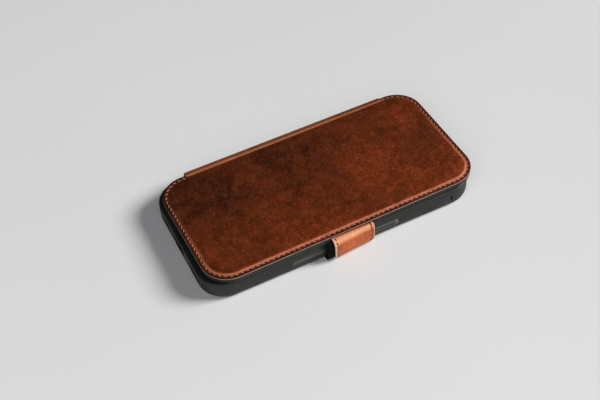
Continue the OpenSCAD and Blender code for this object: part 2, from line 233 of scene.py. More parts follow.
def plate(name, outer, holes, z0, z1, round_edge, matrix=Matrix.Identity(4)):
    """A flat sheet with softly rounded edges, from outlines in millimetres."""
    curve = bpy.data.curves.new(name, "CURVE")
    curve.dimensions, curve.fill_mode = "2D", "BOTH"
    for points in (outer, *holes):
        spline = curve.splines.new("POLY")
        spline.points.add(len(points) - 1)
        spline.points.foreach_set("co", [c for x, y in points for c in (x * MM, y * MM, 0, 1)])
        spline.use_cyclic_u = True
    curve.extrude = (abs(z1 - z0) / 2 - round_edge) * MM
    curve.bevel_depth, curve.bevel_resolution, curve.offset = round_edge * MM, 2, -round_edge * MM
    shape = add_object(name + "_shape", curve)
    mesh = evaluated_mesh(shape)
    bpy.data.objects.remove(shape)
    place_in = matrix @ shift(0, 0, (z0 + z1) / 2)
    place_in.translation *= MM
    mesh.transform(place_in)
    bm = bmesh.new()
    bm.from_mesh(mesh)
    bmesh.ops.remove_doubles(bm, verts=bm.verts, dist=1e-7)
    bmesh.ops.recalc_face_normals(bm, faces=bm.faces)
    bm.to_mesh(mesh)
    bm.free()
    mesh.name = name
    return add_object(name, mesh)


def ripple(x, y, size, height, seed=0.0):
    """A gentle unevenness of the surface at a point."""
    return height * noise.noise(Vector((x / size, y / size, seed)))


class Path:
    """A line in the X-Z plane that is read by its length."""

    def __init__(self, points):
        self.points = [Vector(p) for p in points]
        self.at = [0.0]
        for a, b in zip(self.points, self.points[1:]):
            self.at.append(self.at[-1] + (b - a).length)
        self.length = self.at[-1]

    def spot(self, s):
        s = min(max(s, 0.0), self.length)
        k = max(i for i in range(len(self.at) - 1) if self.at[i] <= s)
        a, b = self.points[k], self.points[k + 1]
        return a.lerp(b, (s - self.at[k]) / max(self.at[k + 1] - self.at[k], 1e-9))

    def frame(self, s):
        """Point, direction and left-hand normal at a length along the line."""
        reach = 0.35
        a, b = self.spot(s - reach), self.spot(s + reach)
        along = (b - a).normalized()
        return self.spot(s), along, Vector((-along[1], along[0]))

    def nearest(self, x, z):
        """The length along the line at which it comes closest to a point."""
        target, steps = Vector((x, z)), 800
        lengths = [i * self.length / steps for i in range(steps + 1)]
        return min(lengths, key=lambda s: (self.spot(s) - target).length)


def arc(cx, cz, r, a0, a1, n=14):
    return [
        (cx + r * cos(radians(a0 + (a1 - a0) * i / n)), cz + r * sin(radians(a0 + (a1 - a0) * i / n)))
        for i in range(n + 1)
    ]


def steady(value):
    """A function of the length along a path that is the same all the way."""
    return lambda s: value


def unmoved(point, y):
    return point


def strip(name, path, s0, s1, y0, y1, depth, step=0.7, edge=0.22, wave=0.03, settle=unmoved):
    """A strip of sheet along a path, between two depths in from the path's left side.

    depth(s) gives both depths, y0(s), y1(s) the two side edges and settle(point, y) how the path
    lies at that place across the strip."""
    n = max(2, round((s1 - s0) / step))
    cross, lip = max(4, round((y1(s0) - y0(s0)) / 1.6)), 0.8
    rings = []
    for k in range(n + 1):
        s = s0 + (s1 - s0) * k / n
        point, _, inward = path.frame(s)
        d0, d1 = depth(s)
        a, b = y0(s), y1(s)
        e = min(edge, (d1 - d0) / 2.2)
        top = [a + e, *(a + lip + (b - a - 2 * lip) * i / cross for i in range(cross + 1)), b - e]
        section = [(y, d0) for y in top]
        section += [(b - e * 0.3, d0 + e * 0.3), (b, d0 + e), (b, d1 - e), (b - e * 0.3, d1 - e * 0.3)]
        section += [(y, d1) for y in reversed(top)]
        section += [(a + e * 0.3, d1 - e * 0.3), (a, d1 - e), (a, d0 + e), (a + e * 0.3, d0 + e * 0.3)]
        ring = []
        for y, d in section:
            p = settle(point, y) + inward * (d + ripple(s, y, 3.5, wave))
            ring.append((p[0], y, p[1]))
        rings.append(ring)
    return loft(name, rings)


def threads(name, spots, length, width, rise, slant=0.0):
    """Short lengths of thread. A spot is a matrix: Y along the seam, Z out of the surface."""
    stations, sides = 9, 8
    verts, faces = [], []
    for spot in spots:
        turned = spot @ spin(radians(slant))
        base = len(verts)
        for k in range(stations):
            t = k / (stations - 1) * 2 - 1
            thick = width / 2 * (1 - abs(t) ** 4) ** 0.5 * (0.92 + 0.08 * cos(9 * t)) + 0.01
            lift = rise - width / 2 * 0.9 - 0.34 * t * t * abs(t)
            for i in range(sides):
                angle = 2 * pi * i / sides
                point = (thick * cos(angle), t * length / 2, lift + 0.9 * thick * sin(angle))
                verts.append(turned @ Vector(point))
        for k in range(stations - 1):
            a, b = base + k * sides, base + (k + 1) * sides
            faces += [[a + i, a + (i + 1) % sides, b + (i + 1) % sides, b + i] for i in range(sides)]
        last = base + (stations - 1) * sides
        faces += [[base + i for i in range(sides)], [last + i for i in range(sides)]]
    return add_mesh(name, verts, faces)


def seam_row(a, b, turn):
    """Places of the stitches on an underside, from a to b, with the thread's turn about Z."""
    n = floor((b - a).length / STITCH_PITCH)
    return [shift(*a.lerp(b, (i + 0.5) / n)) @ spin(turn) @ FACE_DOWN for i in range(n)]


# ---------- material helpers ----------


# How far apart the wave texture's bands are at a scale of 1.
BAND_AT_SCALE_1 = 0.314


class Finish:
    """Builds a procedural material."""

    def __init__(self, name, colour, roughness=0.5, metallic=0.0, coordinate="rest"):
        self.material = bpy.data.materials.new(name)
        self.material.use_nodes = True
        self.nodes, self.links = self.material.node_tree.nodes, self.material.node_tree.links
        self.shader = self.nodes["Principled BSDF"]
        self.feed(self.shader, {"Base Color": colour, "Roughness": roughness, "Metallic": metallic})
        if coordinate == "rest":
            self.where = self.add("ShaderNodeAttribute", attribute_name="rest").outputs["Vector"]
        else:
            place = self.add("ShaderNodeTexCoord").outputs["Object"]
            to_mm = self.add("ShaderNodeVectorMath", {0: place, "Scale": 1 / MM}, operation="SCALE")
            self.where = to_mm.outputs[0]

    def add(self, kind, inputs=None, **settings):
        """A node with its settings, then its inputs: numbers, colours or other nodes' outputs."""
        node = self.nodes.new(kind)
        for key, value in settings.items():
            setattr(node, key, value)
        self.feed(node, inputs or {})
        return node

    def feed(self, node, inputs):
        for key, value in inputs.items():
            socket = node.inputs[key]
            if isinstance(value, bpy.types.NodeSocket):
                self.links.new(value, socket)
            elif isinstance(value, tuple) and socket.type == "RGBA":
                socket.default_value = (*value, 1)
            else:
                socket.default_value = value

    def stretched(self, x, y, z):
        inputs = {0: self.where, 1: (x, y, z)}
        return self.add("ShaderNodeVectorMath", inputs, operation="MULTIPLY").outputs[0]

    def noise(self, size, detail=3.0, rough=0.55, where=None, distortion=0.0):
        """Noise whose features are about size millimetres wide."""
        inputs = {"Vector": where or self.where, "Scale": 1 / size, "Detail": detail}
        inputs |= {"Roughness": rough, "Distortion": distortion}
        return self.add("ShaderNodeTexNoise", inputs).outputs["Fac"]

    def cells(self, size, feature, where=None):
        inputs = {"Vector": where or self.where, "Scale": 1 / size}
        return self.add("ShaderNodeTexVoronoi", inputs, feature=feature).outputs["Distance"]

    def wave(self, size, direction, distortion):
        """Bands about size millimetres apart."""
        inputs = {"Vector": self.where, "Scale": BAND_AT_SCALE_1 / size, "Distortion": distortion}
        return self.add("ShaderNodeTexWave", inputs, bands_direction=direction).outputs["Fac"]

    def spread(self, value, low, high, to_low=0.0, to_high=1.0):
        inputs = {"Value": value, "From Min": low, "From Max": high, "To Min": to_low, "To Max": to_high}
        node = self.add("ShaderNodeMapRange", inputs, interpolation_type="SMOOTHSTEP")
        return node.outputs["Result"]

    def calc(self, operation, a, b):
        return self.add("ShaderNodeMath", {0: a, 1: b}, operation=operation).outputs[0]

    def mix(self, factor, a, b):
        return self.add("ShaderNodeMix", {0: factor, 6: a, 7: b}, data_type="RGBA").outputs[2]

    def mark(self, name):
        return self.add("ShaderNodeAttribute", attribute_name=name).outputs["Fac"]

    def colour(self, value):
        self.feed(self.shader, {"Base Color": value})

    def roughness(self, value):
        self.feed(self.shader, {"Roughness": value})

    def bump(self, height, distance, strength):
        """Relief of that depth in millimetres."""
        inputs = {"Height": height, "Distance": distance * MM, "Strength": strength}
        self.feed(self.shader, {"Normal": self.add("ShaderNodeBump", inputs).outputs["Normal"]})

    def set(self, **values):
        for key, value in values.items():
            self.shader.inputs[key.replace("_", " ")].default_value = value
        return self.material


def leather(name, deep, middle, bright, rubbed_and_lit, grain, gloss=0.42):
    """Burnished leather: clouded colour, fine pebble grain, creases and a waxed surface."""
    f = Finish(name, middle)
    clouds = f.noise(24, 3, 0.5, distortion=0.5)
    patches = f.noise(5.0, 5, 0.62, distortion=0.8)
    flecks = f.noise(0.9, 3, 0.6)
    pebbles = f.cells(0.62, "SMOOTH_F1")
    creases = f.cells(2.3, "DISTANCE_TO_EDGE", f.stretched(1.0, 0.62, 1.0))
    tone = f.calc("ADD", f.calc("MULTIPLY", clouds, 0.34), f.calc("MULTIPLY", patches, 0.32))
    tone = f.calc("ADD", tone, f.calc("MULTIPLY", flecks, 0.34))
    # Adds the painted light falloff where a piece carries one.
    tone = f.calc("ADD", tone, f.mark("light_falloff"))
    base = f.mix(f.spread(tone, 0.33, 0.53), deep, middle)
    base = f.mix(f.spread(tone, 0.49, 0.70), base, bright)
    base = f.mix(f.spread(flecks, 0.40, 0.62, 0.3, 0.0), base, deep)
    # Darker in the creases: painted shade.
    base = f.mix(f.spread(creases, 0.0, 0.09, 0.22, 0.0), base, deep)
    # Lighter on the pad's shoulder, the spine's ridge and the strap's shoulder: wear and painted highlight
    # on the cover, painted highlight on the spine and the strap.
    base = f.mix(f.mark("highlight_and_wear"), base, rubbed_and_lit)
    # Near-black where the dark mark is set: painted shade in the cover's needle holes, and a deeper colour
    # on the cover's rim and the spine's outer side.
    base = f.mix(f.mark("dark"), base, (0.016, 0.003, 0.001))
    f.colour(base)
    f.roughness(f.spread(patches, 0.3, 0.7, gloss - 0.07, gloss + 0.1))
    relief = f.calc("ADD", f.calc("MULTIPLY", pebbles, 0.75), f.calc("MULTIPLY", flecks, 0.5))
    relief = f.calc("ADD", relief, f.spread(creases, 0.0, 0.12, 0.0, 0.55))
    f.bump(relief, 0.045 * grain, 0.7)
    return f.set(Specular_IOR_Level=0.33, Coat_Weight=0.06, Coat_Roughness=0.3)


def cut_edge(name, light, dark):
    """The pale, sealed edge of cut leather, with its fibres."""
    f = Finish(name, light)
    fibres = f.noise(0.5, 4, 0.7, f.stretched(1, 1, 2.6))
    f.colour(f.mix(f.spread(fibres, 0.35, 0.65), dark, light))
    f.roughness(f.spread(fibres, 0.3, 0.7, 0.45, 0.7))
    f.bump(fibres, 0.05, 0.6)
    return f.set(Specular_IOR_Level=0.4)


def moulded(name, colour, grain=0.28, rough=0.55, coordinate="rest", relief=0.012):
    """Moulded rubber or plastic with a fine spark-eroded texture and faint handling marks."""
    f = Finish(name, colour, coordinate=coordinate)
    fine = f.noise(grain, 2, 0.5)
    marks = f.noise(9, 4, 0.6)
    f.colour(f.mix(f.spread(marks, 0.35, 0.7, 0.0, 0.3), colour, tuple(min(1, c * 1.5) for c in colour)))
    f.roughness(f.spread(marks, 0.3, 0.7, rough - 0.07, rough + 0.07))
    f.bump(fine, relief, 0.8)
    return f.set(Specular_IOR_Level=0.4)


def fabric(name, colour, thread, sheen, shine=0.2):
    """Brushed microfibre or a fine black lining: short fibres, soft sheen."""
    f = Finish(name, colour)
    fibres = f.noise(thread, 4, 0.7, f.stretched(1, 2.2, 1))
    nap = f.noise(11, 3, 0.5)
    brushed = f.mix(f.spread(fibres, 0.3, 0.7, 0.0, 0.6), colour, tuple(min(1, c * 1.7) for c in colour))
    f.colour(f.mix(f.spread(nap, 0.35, 0.65, 0.0, 0.5), brushed, tuple(c * 0.6 for c in colour)))
    f.roughness(f.spread(nap, 0.3, 0.7, 0.78, 0.95))
    f.bump(fibres, 0.04, 0.7)
    return f.set(Sheen_Weight=sheen, Sheen_Roughness=0.4, Specular_IOR_Level=shine)


def spun_thread(name, colour, dark):
    """Twisted polyester thread with a slight shine."""
    f = Finish(name, colour)
    plies = f.wave(0.22, "DIAGONAL", 0.4)
    shade = f.noise(3.2, 2)
    # Darker between the plies: painted shade in the twist's grooves.
    twisted = f.mix(f.spread(plies, 0.25, 0.75), dark, colour)
    f.colour(f.mix(f.spread(shade, 0.35, 0.65, 0.0, 0.35), twisted, dark))
    f.roughness(f.spread(shade, 0.3, 0.7, 0.36, 0.5))
    f.bump(plies, 0.04, 0.6)
    return f.set(Sheen_Weight=0.25, Sheen_Roughness=0.35)


def metal(name, colour, rough, coordinate="object"):
    """Plated or anodised metal with fine brush marks."""
    f = Finish(name, colour, rough, 1.0, coordinate)
    brushed = f.noise(0.5, 3, 0.6, f.stretched(6, 0.5, 6))
    f.colour(f.mix(f.spread(brushed, 0.3, 0.7), tuple(c * 0.82 for c in colour), colour))
    f.roughness(f.spread(brushed, 0.3, 0.7, rough - 0.06, rough + 0.08))
    f.bump(brushed, 0.006, 0.5)
    return f.material


def fibrous(name, colour, size):
    """Board or foam: matt, open-grained."""
    f = Finish(name, colour, 0.9, 0.0, "object")
    grain = f.noise(size, 4, 0.7)
    f.colour(f.mix(f.spread(grain, 0.3, 0.7), tuple(c * 0.7 for c in colour), colour))
    f.roughness(f.spread(grain, 0.3, 0.7, 0.8, 0.95))
    f.bump(grain, 0.08, 0.6)
    return f.material


def paper_floor(name, colour):
    """Pale matt studio paper."""
    f = Finish(name, colour, 0.8, 0.0, "object")
    tooth = f.noise(1.4, 4, 0.6)
    cloud = f.noise(240, 2, 0.5)
    f.colour(f.mix(f.spread(cloud, 0.3, 0.7, 0.0, 1.0), colour, tuple(c * 0.97 for c in colour)))
    f.roughness(f.spread(cloud, 0.3, 0.7, 0.7, 0.85))
    f.bump(tooth, 0.06, 0.4)
    return f.set(Specular_IOR_Level=0.25)


COVER_LEATHER = leather(
    "cover_leather_finish",
    deep=(0.030, 0.0056, 0.0006),
    middle=(0.118, 0.0200, 0.0026),
    bright=(0.27, 0.041, 0.0060),
    rubbed_and_lit=(0.58, 0.170, 0.080),
    grain=1.5,
)
SPINE_LEATHER = leather(
    "spine_leather_finish",
    deep=(0.11, 0.032, 0.012),
    middle=(0.20, 0.058, 0.020),
    bright=(0.30, 0.085, 0.026),
    rubbed_and_lit=(0.50, 0.135, 0.043),
    grain=0.8,
    gloss=0.52,
)
STRAP_LEATHER = leather(
    "strap_leather_finish",
    deep=(0.17, 0.024, 0.004),
    middle=(0.46, 0.084, 0.012),
    bright=(0.68, 0.17, 0.036),
    rubbed_and_lit=(0.90, 0.45, 0.25),
    grain=2.4,
    gloss=0.40,
)
PALE_EDGE = cut_edge("pale_edge_finish", (0.38, 0.27, 0.21), (0.22, 0.13, 0.095))
TAN_EDGE = cut_edge("tan_edge_finish", (0.86, 0.55, 0.40), (0.66, 0.34, 0.21))
BLACK_LINING = fabric("black_lining_finish", (0.020, 0.019, 0.017), 0.3, 0.12)
# The strap's lining is near-black, darker than the other lining: painted shade where it shows past the
# leather.
STRAP_LINING_SHADED = fabric("strap_lining_painted_shade_finish", (0.0035, 0.0035, 0.0032), 0.3, 0.0, 0.06)
MICROFIBRE = fabric("microfibre_finish", (0.040, 0.041, 0.045), 0.6, 0.16)
BUMPER_RUBBER = moulded("bumper_finish", (0.0098, 0.0106, 0.0084))
# The recess floors are a lighter grey than the rubber round them, and glossier: the lighter colour is
# painted highlight.
WINDOW_HIGHLIGHT = moulded("window_painted_highlight_finish", (0.046, 0.045, 0.037), 0.4, 0.36)
# The button caps are a lighter grey than the bumper: painted highlight on their rims and ribs.
BUTTON_HIGHLIGHT_RUBBER = moulded("button_painted_highlight_finish", (0.085, 0.088, 0.088), 0.22, 0.2, relief=0.004)
INNER_PLASTIC = moulded("plate_finish", (0.02, 0.02, 0.02), 0.4, 0.5, "object")
BEZEL_METAL = metal("bezel_finish", (0.11, 0.11, 0.12), 0.34, "rest")
MAGNET_METAL = metal("magnet_finish", (0.60, 0.60, 0.62), 0.28)
STEEL = metal("steel_finish", (0.52, 0.53, 0.55), 0.32)
BOARD = fibrous("board_finish", (0.26, 0.24, 0.21), 0.5)
FOAM = fibrous("foam_finish", (0.62, 0.60, 0.55), 0.35)
COPPER_THREAD = spun_thread("copper_thread_finish", (0.50, 0.165, 0.085), (0.26, 0.068, 0.032))
BROWN_THREAD = spun_thread("brown_thread_finish", (0.06, 0.014, 0.007), (0.03, 0.006, 0.003))
FLOOR = paper_floor("floor_finish", (0.715, 0.715, 0.72))


# ---------- finishing a piece ----------


def dress(obj, materials, nodes, slot, smooth=40):
    """Shades a piece, keeps its resting place for the grain, and hides the CAD nodes it stands in for."""
    mesh = obj.data
    mesh.materials.clear()
    for material in materials:
        mesh.materials.append(material)
    mesh.polygons.foreach_set("use_smooth", [True] * len(mesh.polygons))
    mesh.set_sharp_from_angle(angle=radians(smooth))
    rest = mesh.attributes.get("rest") or mesh.attributes.new("rest", "FLOAT_VECTOR", "POINT")
    rest.data.foreach_set("vector", [c / MM for v in mesh.vertices for c in v.co])
    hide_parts(*nodes)
    return obj


def set_mark(obj, name, value_at):
    """Stores a number between 0 and 1 for each point, from its place in millimetres."""
    attribute = obj.data.attributes.new(name, "FLOAT", "POINT")
    attribute.data.foreach_set("value", [value_at(v.co / MM) for v in obj.data.vertices])


def edge_faces(obj, index, wanted):
    """Gives the faces that wanted(centre, normal) picks the material at index."""
    for face in obj.data.polygons:
        if wanted(face.center / MM, face.normal):
            face.material_index = index


# ---------- cover ----------

LONG_STITCHES = floor((COVER_L - 2 * COVER_R) / STITCH_PITCH)
SHORT_STITCHES = floor((COVER_W - 2 * COVER_R) / STITCH_PITCH)
CORNER_STITCHES = round((COVER_R - STITCH_INSET) * pi / 2 / STITCH_PITCH)
PER_STITCH = 6
COVER_COUNTS = [PER_STITCH * n for n in (LONG_STITCHES, SHORT_STITCHES, CORNER_STITCHES)]
COVER_OUTLINE = rounded(COVER_W, COVER_L, COVER_R, COVER_COUNTS)
HOLE_INSET = STITCH_INSET - 0.15
PAD_TOP = 1.935
# How far in from the outline, and how high: underside, rim, seam and the pad's shoulder.
COVER_SECTION = [
    (3.65, 1.37), (3.65, 0.49), (0.3, 0.49), (0.08, 0.55), (0.0, 0.66), (0.0, 1.0),
    (0.05, 1.15), (0.16, 1.25), (0.34, 1.305), (0.6, 1.33), (0.9, 1.33), (1.2, 1.31),
    (1.45, 1.28), (1.65, 1.25), (1.8, 1.24), (1.95, 1.25), (2.15, 1.29), (2.35, 1.36),
    (2.55, 1.46), (2.8, 1.58), (3.15, 1.70), (3.6, 1.79), (4.3, 1.86), (5.4, 1.90),
    (7.0, 1.92), (9.0, 1.93), (11.3, PAD_TOP),
]
HOLE_DEPTH = 0.16


def hole_share(index, inset):
    """How strongly a point of the seam lies in a needle hole, from 0 to 1."""
    between = (index % PER_STITCH) / PER_STITCH
    along = min(between, 1 - between) * STITCH_PITCH
    return max(0.0, 1 - (along / 0.7) ** 2) * max(0.0, 1 - ((inset - HOLE_INSET) / 0.5) ** 2)


def pad_ripple(x, y):
    """The leather's unevenness over the pad."""
    return ripple(x, y, 16, 0.05, 2.0) + ripple(x, y, 4, 0.018, 5.0)


def cover_rings():
    """Rings of the cover's section, with how much painted shade each point gets in the needle holes."""
    rings, dark = [], []
    for inset, z in COVER_SECTION:
        top = z > 0.9
        ring = []
        for i, (x, y) in enumerate(loop_at(COVER_OUTLINE, COVER_R, inset)):
            hole = hole_share(i, inset) if inset < 3.4 and top else 0.0
            wave = pad_ripple(x, y) if top and inset > 0.5 else 0.0
            ring.append((x, y, z - HOLE_DEPTH * hole + wave * min(1.0, inset / 3)))
            dark.append(hole)
        rings.append(ring)
    return rings, dark


def close_to_middle(last, half, steps):
    """Rings that shrink from the last one to the panel's middle line."""
    rings = []
    for k in range(1, steps + 1):
        t = k / steps
        ring = []
        for x, y, _ in last:
            middle = min(max(y, -half), half)
            px, py = x * (1 - t), y + (middle - y) * t
            ring.append((px, py, PAD_TOP + 0.03 * t + pad_ripple(px, py)))
        rings.append(ring)
    return rings


def build_cover_leather():
    """The padded leather, from its underside over the rim and the seam to the middle of the pad."""
    rings, dark = cover_rings()
    rings += close_to_middle(rings[-1], (COVER_L - COVER_W) / 2, 17)
    rings = [[COVER @ Vector(v) for v in ring] for ring in rings]
    obj = loft("cover_padded_leather", rings, filled=[0])
    cover_back = COVER.inverted()

    def key(point):
        return tuple(round(c, 3) for c in point)

    placed = (v for ring in rings for v in ring)
    holes = {key(v): amount for v, amount in zip(placed, dark) if amount > 0}

    # Painted shade in the needle holes, and the rim's deeper colour.
    def darkness(point):
        return max(0.92 * holes.get(key(point), 0.0), rim_shade(cover_back @ point))

    set_mark(obj, "dark", darkness)
    set_mark(obj, "highlight_and_wear", lambda p: cover_shoulder_wear_and_highlight(cover_back @ p))
    set_mark(obj, "light_falloff", lambda p: cover_light_falloff(cover_back @ p))
    dress(obj, [COVER_LEATHER, PALE_EDGE], ["cover_leather"], "cognac_leather")
    edge_faces(obj, 1, lambda c, n: on_cut_edge(cover_back @ c))
    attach(obj, "cover")


def edge_inset(p):
    """Distance in from the cover's outline, for a point on its sheet."""
    hx, hy = COVER_W / 2 - COVER_R, COVER_L / 2 - COVER_R
    dx, dy = max(abs(p.x) - hx, 0), max(abs(p.y) - hy, 0)
    if dx and dy:
        return COVER_R - hypot(dx, dy)
    return min(COVER_W / 2 - abs(p.x), COVER_L / 2 - abs(p.y))


def on_cut_edge(p):
    return p.z > 0.6 and edge_inset(p) < 0.06


def rim_shade(p):
    """The dye is deepest in the rim outside the seam."""
    return 0.62 * min(max((1.7 - edge_inset(p)) / 0.8, 0.0), 1.0)


def cover_shoulder_wear_and_highlight(p):
    """Lighter on the shoulder of the pad: polished leather and a painted highlight, strongest along the
    free edge, where the near lamp falls.
    """
    inset = edge_inset(p)
    shoulder = max(0.0, 1 - abs(inset - 2.6) / 0.8)
    handled_and_lit = min(1.0, max(0.15, 0.5 + p.x / 50))
    uneven = 0.85 + 0.4 * noise.noise(Vector((p.x / 5, p.y / 5, 3)))
    return min(1.0, shoulder * handled_and_lit * uneven)


def cover_light_falloff(p):
    """Painted light falloff: darker towards the spine and the phone's bottom, away from the lamps, and
    redder towards the other corner.
    """
    return 0.0012 * p.x + 0.0007 * p.y - 0.014


def build_cover_lining():
    """Black lining whose underside is level, so that it gets thicker towards the free edge."""
    to_local = COVER.inverted()
    outline = rounded(COVER_W - 0.3, COVER_L - 0.3, COVER_R - 0.15, (60, 26, 14))
    r = COVER_R - 0.15

    def level(x, y, up=0.0):
        plane = Vector((0, 0, 1))
        normal = to_local.to_3x3() @ plane
        through = to_local @ Vector((0, 0, LINING_Z + up))
        return through.z - (normal.x * (x - through.x) + normal.y * (y - through.y)) / normal.z

    rings = [[(x, y, level(x, y)) for x, y in loop_at(outline, r, inset)] for inset in (11.0, 5.0, 0.3)]
    rings.append([(x, y, level(x, y, 0.08)) for x, y in loop_at(outline, r, 0.08)])
    rings.append([(x, y, level(x, y, 0.22)) for x, y in loop_at(outline, r, 0.0)])
    for inset, z in ((0.0, 0.3), (0.08, 0.4), (0.3, 0.45)):
        rings.append([(x, y, z) for x, y in loop_at(outline, r, inset)])
    obj = loft("cover_inner_lining", [[COVER @ Vector(v) for v in ring] for ring in rings])
    bay_y0, bay_y1 = STRAP_Y0 - COVER_SHIFT - STRAP_ROOM, STRAP_Y1 - COVER_SHIFT + STRAP_ROOM
    carve(obj, block("bay", (24.15, bay_y0, -6), (50, bay_y1, 0), COVER))
    dress(obj, [BLACK_LINING], ["cover_lining"], "black_lining")
    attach(obj, "cover")


def build_cover_stitching():
    """Three sides and all corners, and one more stitch at each end of the side at the spine."""
    hx, hy, radius, z = COVER_W / 2 - COVER_R, COVER_L / 2 - COVER_R, COVER_R - STITCH_INSET, 1.27
    spine_side = 2
    spots = []
    for side in range(4):
        turn = spin(side * pi / 2)
        half, out = ((hy, hx), (hx, hy))[side % 2]
        if side != spine_side:
            n = floor(2 * half / STITCH_PITCH)
            for i in range(n):
                y = (i - (n - 1) / 2) * 2 * half / n
                spots.append(turn @ shift(out + radius, y, z))
        centre = turn @ Vector((out, half, 0))
        for i in range(CORNER_STITCHES):
            angle = side * pi / 2 + (i + 0.5) * pi / 2 / CORNER_STITCHES
            spots.append(shift(*centre) @ spin(angle) @ shift(radius, 0, z))
    for y in (hy - STITCH_PITCH / 2, STITCH_PITCH / 2 - hy):
        spots.append(shift(STITCH_INSET - COVER_W / 2, y, z) @ spin(pi))
    obj = threads("cover_edge_stitching", [COVER @ m for m in spots], 2.3, 0.66, 0.32, -20)
    dress(obj, [COPPER_THREAD], ["cover_stitching"], "copper_thread", 60)
    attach(obj, "cover")


POCKET_X, POCKET_W, POCKET_R, POCKET_BOTTOM = -4.3, 56.0, 3.0, -66
POCKET_SEAM = 1.3


def pocket_panel(kind, top_y, low_z, finish, slot):
    """A pocket's panel, with a thumb notch in its top edge."""
    thumb, height, thick = 9.0, top_y - POCKET_BOTTOM, 0.4
    loop = rounded_loop(POCKET_W, height, POCKET_R, 8)
    points = [(x + POCKET_X, y + (POCKET_BOTTOM + top_y) / 2) for x, y in loop]
    arch = [pi * i / 24 for i in range(25)]
    notch = [(POCKET_X + thumb * cos(angle), top_y - thumb * sin(angle)) for angle in arch]
    top = [i for i, p in enumerate(points) if abs(p[1] - top_y) < 1e-6]
    before = [i for i in top if points[i][0] > POCKET_X + thumb]
    after = [i for i in top if points[i][0] < POCKET_X - thumb]
    outline = points[: max(before) + 1] + notch + points[min(after) :]
    panel = plate(f"card_pocket_{kind}_panel", outline, [], low_z, low_z + thick, 0.12, POCKETS)
    return dress(panel, [finish], [f"card_pocket_{kind}"], slot)


def build_card_pockets():
    front_top, low_z = 18, -0.84
    rear = pocket_panel("rear", 32, -0.42, BLACK_LINING, "black_lining")
    front = pocket_panel("front", front_top, low_z, SPINE_LEATHER, "cognac_leather")
    row_low, row_high = POCKET_BOTTOM + 2, front_top - 2
    spots = []
    for s in (-1, 1):
        x = POCKET_X + s * (POCKET_W / 2 - POCKET_SEAM)
        spots += seam_row(Vector((x, row_low, low_z)), Vector((x, row_high, low_z)), 0)
    y, reach = POCKET_BOTTOM + POCKET_SEAM, POCKET_W / 2 - POCKET_R
    spots += seam_row(Vector((POCKET_X - reach, y, low_z)), Vector((POCKET_X + reach, y, low_z)), pi / 2)
    thread = threads("card_pocket_thread", [POCKETS @ m for m in spots], 1.9, 0.36, 0.13)
    dress(thread, [COPPER_THREAD], ["card_pocket_stitching"], "copper_thread", 60)
    for obj in (rear, front, thread):
        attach(obj, "cover")


# ---------- spine ----------

SPINE_OUT = -SPINE_LOW.x
SPINE_Y0, SPINE_Y1 = SPINE_LOW.y, SPINE_HIGH.y
SPINE_PATH = Path(
    [(-34.0, 0.02), (-37.6, 0.02)]
    + arc(-37.9, 2.32, 2.3, 268, 180)
    + [(-SPINE_OUT, 4.0), (-SPINE_OUT, 7.0), (-SPINE_OUT, 9.5)]
    + arc(-37.85, 11.05, 2.35, 180, 92)
    + [(-37.5, 13.39), (-37.1, 13.31), (-36.7, 13.19), (-36.35, 13.07), (-36.05, 12.99), (-35.8, 12.96)]
)


def spine_ridge_highlight(p):
    """Painted highlight along the ridge beside the pad, a little uneven."""
    uneven = 0.8 + 0.5 * noise.noise(Vector((0, p.y / 7, 8)))
    return uneven * 0.8 * max(0.0, 1 - abs(p.x + 36.4) / 0.65) if p.z > 12.5 else 0.0


def build_spine_leather():
    """One sheet from under the tray, up the spine and over the cover's edge, in two pieces."""
    middle = SPINE_PATH.nearest(-SPINE_OUT, 6.9)
    ridge = SPINE_PATH.nearest(-37.9, 13.4)
    end = SPINE_PATH.length

    def depth(s):
        over = min(max((s - (ridge - 2.2)) / 2.2, 0), 1)
        skive = min(max((s - ridge) / (end - ridge), 0), 1)
        thick = 1.0 - 0.56 * over - 0.38 * skive
        return (-thick, 0.0)

    def far(s):
        return 58.4 + 2.5 * min(max((s - middle) / (end - middle), 0), 1)

    near, even = steady(SPINE_Y0), steady((-0.95, 0.0))
    low = strip("spine_lower_leather", SPINE_PATH, 0, middle, near, far, even, wave=0.02)
    high = strip("spine_upper_leather", SPINE_PATH, middle, end, near, far, depth, step=0.3, wave=0.05)
    for obj in (low, high):
        set_mark(obj, "highlight_and_wear", spine_ridge_highlight)
        set_mark(obj, "dark", lambda p: 0.24 * min(max(-36.8 - p.x, 0.0) / 0.4, 1.0))
        dress(obj, [SPINE_LEATHER, PALE_EDGE], ["spine_leather"], "cognac_leather", 50)
        edge_faces(obj, 1, lambda c, n: abs(n.y) > 0.8)
    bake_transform(low)
    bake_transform(high)


def build_spine_lining():
    low, high = span("spine_lining")
    points = [(low.y, low.z), (high.y, low.z), (high.y, high.z), (low.y, high.z)]
    to_side = shift(high.x, 0, 0) @ FACE_X
    obj = plate("spine_inner_lining", points, [], 0, high.x - low.x, 0.1, to_side)
    dress(obj, [BLACK_LINING], ["spine_lining"], "black_lining")
    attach(obj, "spine")


# ---------- tray ----------


def filleted(points, radii):
    """A closed section with its corners rounded."""
    out, n = [], 4
    for i, p in enumerate(points):
        a, b, c = Vector(points[i - 1]), Vector(p), Vector(points[(i + 1) % len(points)])
        u, v = (a - b), (c - b)
        r = min(radii[i], 0.45 * u.length, 0.45 * v.length)
        if r < 0.02:
            out.append(tuple(b))
            continue
        u, v = b + u.normalized() * r, b + v.normalized() * r
        for k in range(n + 1):
            t = k / n
            out.append(tuple((1 - t) ** 2 * u + 2 * t * (1 - t) * b + t * t * v))
    return out


